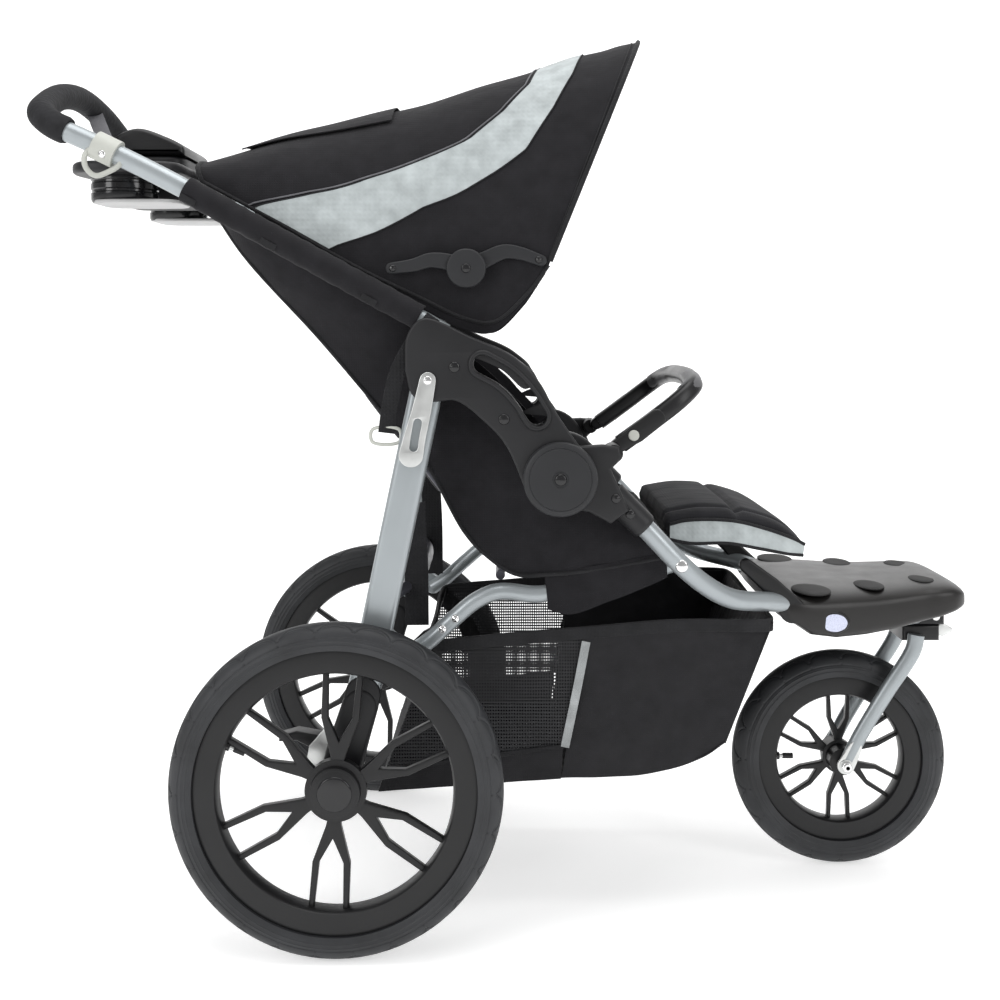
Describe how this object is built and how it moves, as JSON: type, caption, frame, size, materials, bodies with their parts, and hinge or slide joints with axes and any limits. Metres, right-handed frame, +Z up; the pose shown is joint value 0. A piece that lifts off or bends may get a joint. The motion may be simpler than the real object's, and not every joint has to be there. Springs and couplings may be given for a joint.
{
  "type": "jogging stroller",
  "caption": "Three-wheeled folding jogging stroller with air tyres, swivel front wheel, reclining seat, canopy, parent tray, arm bar and under-seat basket.",
  "frame": {"origin": "on the floor, below the middle of the stroller", "axes": "+X forward, +Y to the child’s left, +Z up"},
  "size_m": [1.2465, 0.606, 1.14],
  "materials": {
    "silver_tube": "satin silver paint on aluminium tube",
    "dark_tube": "dark grey satin",
    "bare_metal": "satin",
    "black_plastic": "matte moulded",
    "grey_plastic": "matte moulded",
    "ivory_plastic": "matte moulded",
    "tyre_rubber": "matte",
    "grip_foam": "matte foam",
    "black_fabric": "woven polyester",
    "seat_padding": "padded polyester",
    "basket_mesh": "open mesh",
    "silver_tape": "reflective ripstop",
    "webbing": "nylon webbing",
    "reflector_lens": "gloss",
    "chrome_fastener": "polished"
  },
  "bodies": {
    "front_frame": {"front_tube_right": "silver_tube", "front_tube_left": "silver_tube", "front_socket_right": "black_plastic", "front_socket_left": "black_plastic", "hub_cover_right": "grey_plastic", "hub_cover_left": "grey_plastic", "footrest": "black_plastic", "swivel_block": "bare_metal", "seat_cushion": "seat_padding", "leg_pad": "seat_padding", "side_panel_right": "black_fabric", "side_panel_left": "black_fabric", "basket": "basket_mesh"},
    "upper_frame": {"handle_tube": "silver_tube", "handle_grip": "grip_foam", "hinge_housing_right": "black_plastic", "hinge_housing_left": "black_plastic", "parent_tray": "black_plastic", "tray_clip_right": "ivory_plastic", "tray_clip_left": "ivory_plastic", "seat_wing_right": "black_fabric", "seat_wing_left": "black_fabric", "canopy_rear_arm_right": "grey_plastic", "canopy_rear_arm_left": "grey_plastic", "canopy_rear_bow": "grey_plastic", "canopy_fabric": "black_fabric"},
    "tray_lid": {"tray_lid": "black_plastic"},
    "canopy_front": {"canopy_front_bow": "grey_plastic", "canopy_front_arm_right": "grey_plastic", "canopy_front_arm_left": "grey_plastic"},
    "link_frame": {"link_tube_right": "silver_tube", "link_tube_left": "silver_tube"},
    "seat_hinge": {"back_hinge_bar": "dark_tube"},
    "backrest": {"backrest_pad": "seat_padding"},
    "rear_frame": {"rear_leg_right": "silver_tube", "rear_leg_left": "silver_tube", "leg_foot_right": "black_plastic", "leg_foot_left": "black_plastic", "rear_axle": "bare_metal", "seat_support_bar": "dark_tube"},
    "front_fork": {"fork_crown": "silver_tube", "fork_blade_right": "silver_tube", "fork_blade_left": "silver_tube", "front_axle": "bare_metal"},
    "front_wheel": {"front_tyre": "tyre_rubber", "front_rim": "black_plastic"},
    "swivel_lock": {"swivel_lock_lever": "bare_metal"},
    "arm_bar": {"arm_bar": "black_plastic"},
    "rear_wheel_right": {"rear_tyre_right": "tyre_rubber", "rear_rim_right": "black_plastic", "rear_hub_cap_right": "grey_plastic"},
    "brake_pedal_right": {"brake_pedal_right": "black_plastic"},
    "fold_latch_right": {"fold_latch_right": "bare_metal"},
    "arm_bar_button_right": {"arm_bar_button_right": "ivory_plastic"},
    "rear_wheel_left": {"rear_tyre_left": "tyre_rubber", "rear_rim_left": "black_plastic", "rear_hub_cap_left": "grey_plastic"},
    "brake_pedal_left": {"brake_pedal_left": "black_plastic"},
    "fold_latch_left": {"fold_latch_left": "bare_metal"},
    "arm_bar_button_left": {"arm_bar_button_left": "ivory_plastic"}
  },
  "joints": [
    {"name": "frame_fold", "type": "hinge", "parent": "front_frame", "child": "upper_frame", "pos_m": [0.065, 0, 0.568], "axis": [0, 1, 0], "range_deg": [0, 90]},
    {"name": "leg_fold", "type": "hinge", "parent": "upper_frame", "child": "rear_frame", "pos_m": [-0.095, 0, 0.687], "axis": [0, 1, 0], "range_deg": [-32, 0]},
    {"name": "link_swing", "type": "hinge", "parent": "front_frame", "child": "link_frame", "pos_m": [0.215, 0, 0.458], "axis": [0, 1, 0], "range_deg": [0, 37]},
    {"name": "seat_back_follow", "type": "hinge", "parent": "front_frame", "child": "seat_hinge", "pos_m": [-0.008, 0, 0.436], "axis": [0, 1, 0], "range_deg": [0, 54]},
    {"name": "seat_recline", "type": "hinge", "parent": "seat_hinge", "child": "backrest", "pos_m": [-0.008, 0, 0.436], "axis": [0, -1, 0], "range_deg": [0, 25]},
    {"name": "canopy_fold", "type": "hinge", "parent": "upper_frame", "child": "canopy_front", "pos_m": [-0.05, 0, 0.824], "axis": [0, -1, 0], "range_deg": [0, 70], "deforming": ["canopy_fabric"]},
    {"name": "tray_lid_open", "type": "hinge", "parent": "upper_frame", "child": "tray_lid", "pos_m": [-0.437, 0, 0.985], "axis": [0, 1, 0], "range_deg": [0, 95]},
    {"name": "arm_bar_release", "type": "slide", "parent": "front_frame", "child": "arm_bar", "axis": [0.8321, 0, 0.5547], "range_m": [0, 0.08]},
    {"name": "fork_swivel", "type": "hinge", "parent": "front_frame", "child": "front_fork", "pos_m": [0.579, 0, 0.34], "axis": [0, 0, 1], "continuous": true},
    {"name": "front_wheel_spin", "type": "hinge", "parent": "front_fork", "child": "front_wheel", "pos_m": [0.466, 0, 0.149], "axis": [0, 1, 0], "continuous": true},
    {"name": "swivel_lock_lift", "type": "hinge", "parent": "front_fork", "child": "swivel_lock", "pos_m": [0.602, 0, 0.33], "axis": [0, -1, 0], "range_deg": [0, 30]},
    {"name": "rear_wheel_spin_right", "type": "hinge", "parent": "rear_frame", "child": "rear_wheel_right", "pos_m": [-0.203, -0.282, 0.2], "axis": [0, 1, 0], "continuous": true},
    {"name": "brake_press_right", "type": "hinge", "parent": "rear_frame", "child": "brake_pedal_right", "pos_m": [-0.219, -0.217, 0.232], "axis": [0, -1, 0], "range_deg": [0, 20]},
    {"name": "fold_latch_turn_right", "type": "hinge", "parent": "rear_frame", "child": "fold_latch_right", "pos_m": [-0.095, -0.266, 0.687], "axis": [0, 1, 0], "range_deg": [0, 25]},
    {"name": "arm_bar_button_press_right", "type": "slide", "parent": "arm_bar", "child": "arm_bar_button_right", "axis": [0, 1, 0], "range_m": [0, 0.003], "stiffness_N_per_m": 600},
    {"name": "rear_wheel_spin_left", "type": "hinge", "parent": "rear_frame", "child": "rear_wheel_left", "pos_m": [-0.203, 0.282, 0.2], "axis": [0, 1, 0], "continuous": true},
    {"name": "brake_press_left", "type": "hinge", "parent": "rear_frame", "child": "brake_pedal_left", "pos_m": [-0.219, 0.217, 0.232], "axis": [0, -1, 0], "range_deg": [0, 20]},
    {"name": "fold_latch_turn_left", "type": "hinge", "parent": "rear_frame", "child": "fold_latch_left", "pos_m": [-0.095, 0.266, 0.687], "axis": [0, 1, 0], "range_deg": [0, 25]},
    {"name": "arm_bar_button_press_left", "type": "slide", "parent": "arm_bar", "child": "arm_bar_button_left", "axis": [0, -1, 0], "range_m": [0, 0.003], "stiffness_N_per_m": 600}
  ],
  "couplings": [
    {"joint": "leg_fold", "follows": "frame_fold", "ratio": -0.352},
    {"joint": "link_swing", "follows": "frame_fold", "ratio": 0.41},
    {"joint": "seat_back_follow", "follows": "frame_fold", "ratio": 0.6}
  ]
}
